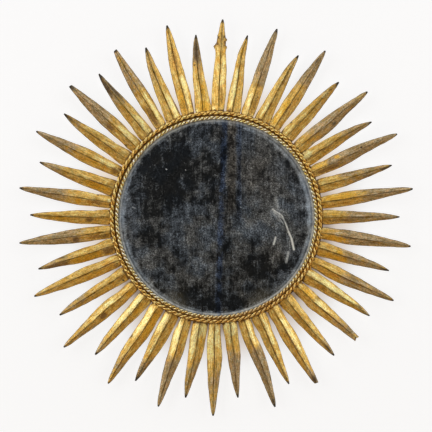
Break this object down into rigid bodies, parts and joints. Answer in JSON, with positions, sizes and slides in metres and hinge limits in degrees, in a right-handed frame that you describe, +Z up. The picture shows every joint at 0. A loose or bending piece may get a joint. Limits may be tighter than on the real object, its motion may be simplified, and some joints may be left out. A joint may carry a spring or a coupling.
{
  "type": "sunburst mirror",
  "caption": "Round convex wall mirror in two twisted-wire rings, with folded leaf-shaped metal rays all round, alternately long and short, and a swinging hanging ring at the back.",
  "frame": {"origin": "centre of the mirror on the wall plane that the back hoop's rear edge touches", "axes": "+Z up, front faces -Y, +X to the right as seen from the front"},
  "size_m": [0.688, 0.0397, 0.6929],
  "materials": {
    "gilt_rays": "aged gilding on sheet metal, brown toning, near-black tips, specks and pits",
    "gilt_wire": "aged gilding on twisted wire, dark dirt between the strands",
    "mirror_glass": "convex antique mirror glass, dark and cloudy, foxed and speckled, fine scratches",
    "collar_brass": "dull brown toned metal",
    "hoop_iron": "rolled iron, dark, with light rust",
    "packing_card": "plain grey-brown board",
    "backboard_ply": "thin plywood, aged brown",
    "clip_steel": "dull sheet steel",
    "rivet_brass": "dull brass",
    "hanger_steel": "worn steel, light rust"
  },
  "bodies": {
    "mirror": {"ray_01_long": "gilt_rays", "ray_02_short": "gilt_rays", "ray_03_long": "gilt_rays", "ray_04_short": "gilt_rays", "ray_05_long": "gilt_rays", "ray_06_short": "gilt_rays", "ray_07_long": "gilt_rays", "ray_08_short": "gilt_rays", "ray_09_long": "gilt_rays", "ray_10_short": "gilt_rays", "ray_11_long": "gilt_rays", "ray_12_short": "gilt_rays", "ray_13_long": "gilt_rays", "ray_14_short": "gilt_rays", "ray_15_long": "gilt_rays", "ray_16_short": "gilt_rays", "ray_17_long": "gilt_rays", "ray_18_short": "gilt_rays", "ray_19_long": "gilt_rays", "ray_20_short": "gilt_rays", "ray_21_long": "gilt_rays", "ray_22_short": "gilt_rays", "ray_23_long": "gilt_rays", "ray_24_short": "gilt_rays", "ray_25_long": "gilt_rays", "ray_26_short": "gilt_rays", "ray_27_long": "gilt_rays", "ray_28_short": "gilt_rays", "ray_29_long": "gilt_rays", "ray_30_short": "gilt_rays", "ray_31_long": "gilt_rays", "ray_32_short": "gilt_rays", "ray_33_long": "gilt_rays", "ray_34_short": "gilt_rays", "ray_35_long": "gilt_rays", "ray_36_short": "gilt_rays", "ray_37_long": "gilt_rays", "ray_38_short": "gilt_rays", "ray_39_long": "gilt_rays", "ray_40_short": "gilt_rays", "ray_41_long": "gilt_rays", "ray_42_short": "gilt_rays", "ray_43_long": "gilt_rays", "ray_44_short": "gilt_rays", "mirror_glass": "mirror_glass", "glass_packing_ring": "packing_card", "backboard": "backboard_ply", "collar": "collar_brass", "angle_hoop": "hoop_iron", "inner_twisted_trim": "gilt_wire", "outer_twisted_rope": "gilt_wire", "backboard_clips": "clip_steel", "rim_rivets": "rivet_brass", "hanger_strap": "hanger_steel", "hanger_rivets": "rivet_brass", "hanger_washers": "rivet_brass"},
    "hanging_loop": {"hanging_ring": "hanger_steel"}
  },
  "joints": [
    {"name": "hanging_ring_swing", "type": "hinge", "parent": "mirror", "child": "hanging_loop", "pos_m": [0, -0.0051, 0.118], "axis": [1, 0, 0], "range_deg": [0, 180]}
  ]
}
